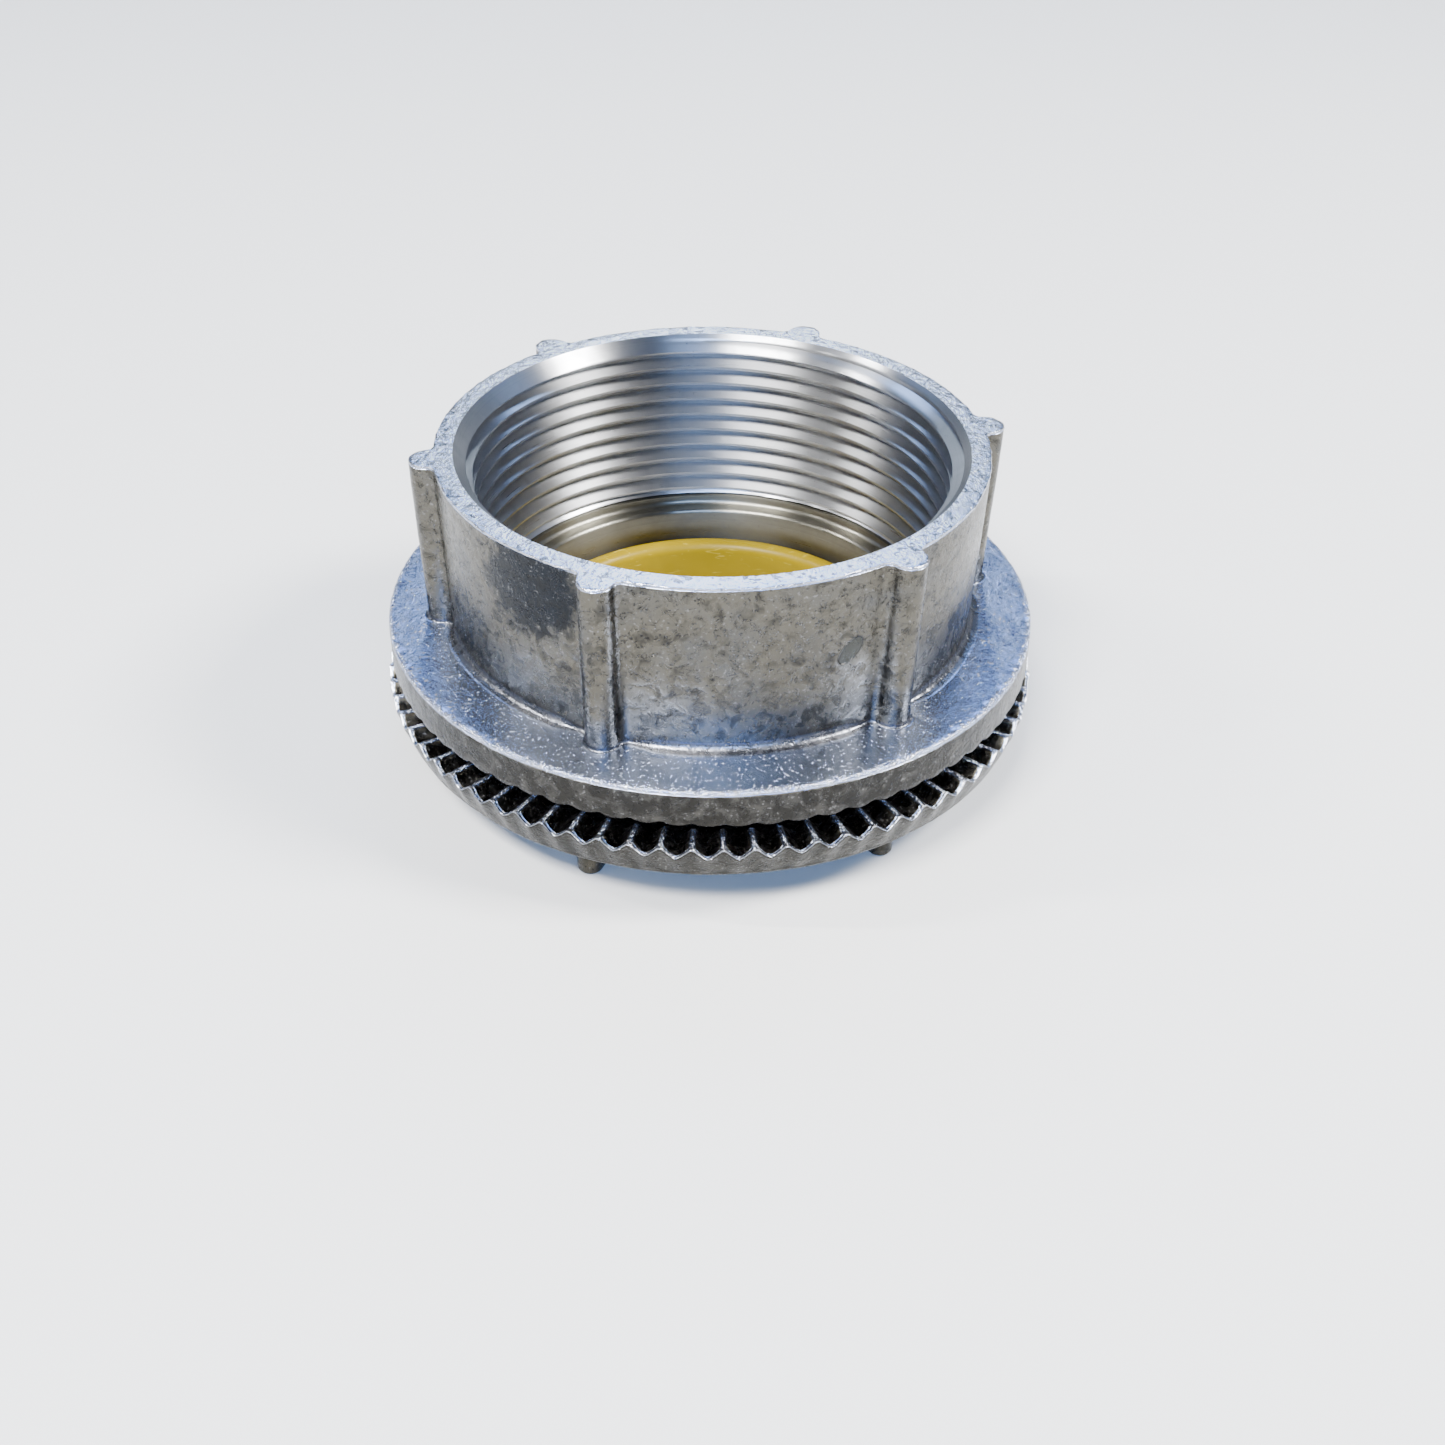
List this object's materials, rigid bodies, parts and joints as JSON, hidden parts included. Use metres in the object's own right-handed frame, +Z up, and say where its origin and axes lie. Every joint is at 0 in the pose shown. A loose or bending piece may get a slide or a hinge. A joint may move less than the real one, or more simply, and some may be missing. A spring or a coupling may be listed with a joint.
{
  "type": "threaded conduit hub",
  "caption": "Die-cast threaded conduit hub with ribbed socket, serrated clamping flange, sealing ring, lugged locknut and insulated throat.",
  "frame": {"origin": "on the bore axis, at the level of the locknut's lug feet", "axes": "+Z up the bore, from the locknut towards the conduit socket; +X through the middle of a locknut lug"},
  "size_m": [0.0814, 0.0814, 0.0395],
  "materials": {
    "hub_zinc": "bare die-cast zinc, satin, tumbled edges",
    "locknut_zinc": "bare die-cast zinc, satin, slightly darker",
    "black_rubber": "matte black synthetic rubber",
    "yellow_plastic": "moulded yellow thermoplastic"
  },
  "bodies": {
    "locknut": {"locknut": "locknut_zinc"},
    "seal_carriage": {"sealing_ring": "black_rubber"},
    "hub": {"hub_body": "hub_zinc", "throat_liner": "yellow_plastic"}
  },
  "joints": [
    {"name": "hub_advance", "type": "slide", "parent": "locknut", "child": "seal_carriage", "axis": [0, 0, 1], "range_m": [-0.0024, 0.0052]},
    {"name": "hub_turn", "type": "hinge", "parent": "seal_carriage", "child": "hub", "pos_m": [0, 0, 0.0133], "axis": [0, 0, 1], "range_deg": [-391, 847]}
  ],
  "couplings": [
    {"joint": "hub_advance", "follows": "hub_turn", "m_per_rad": 0.00035152}
  ]
}
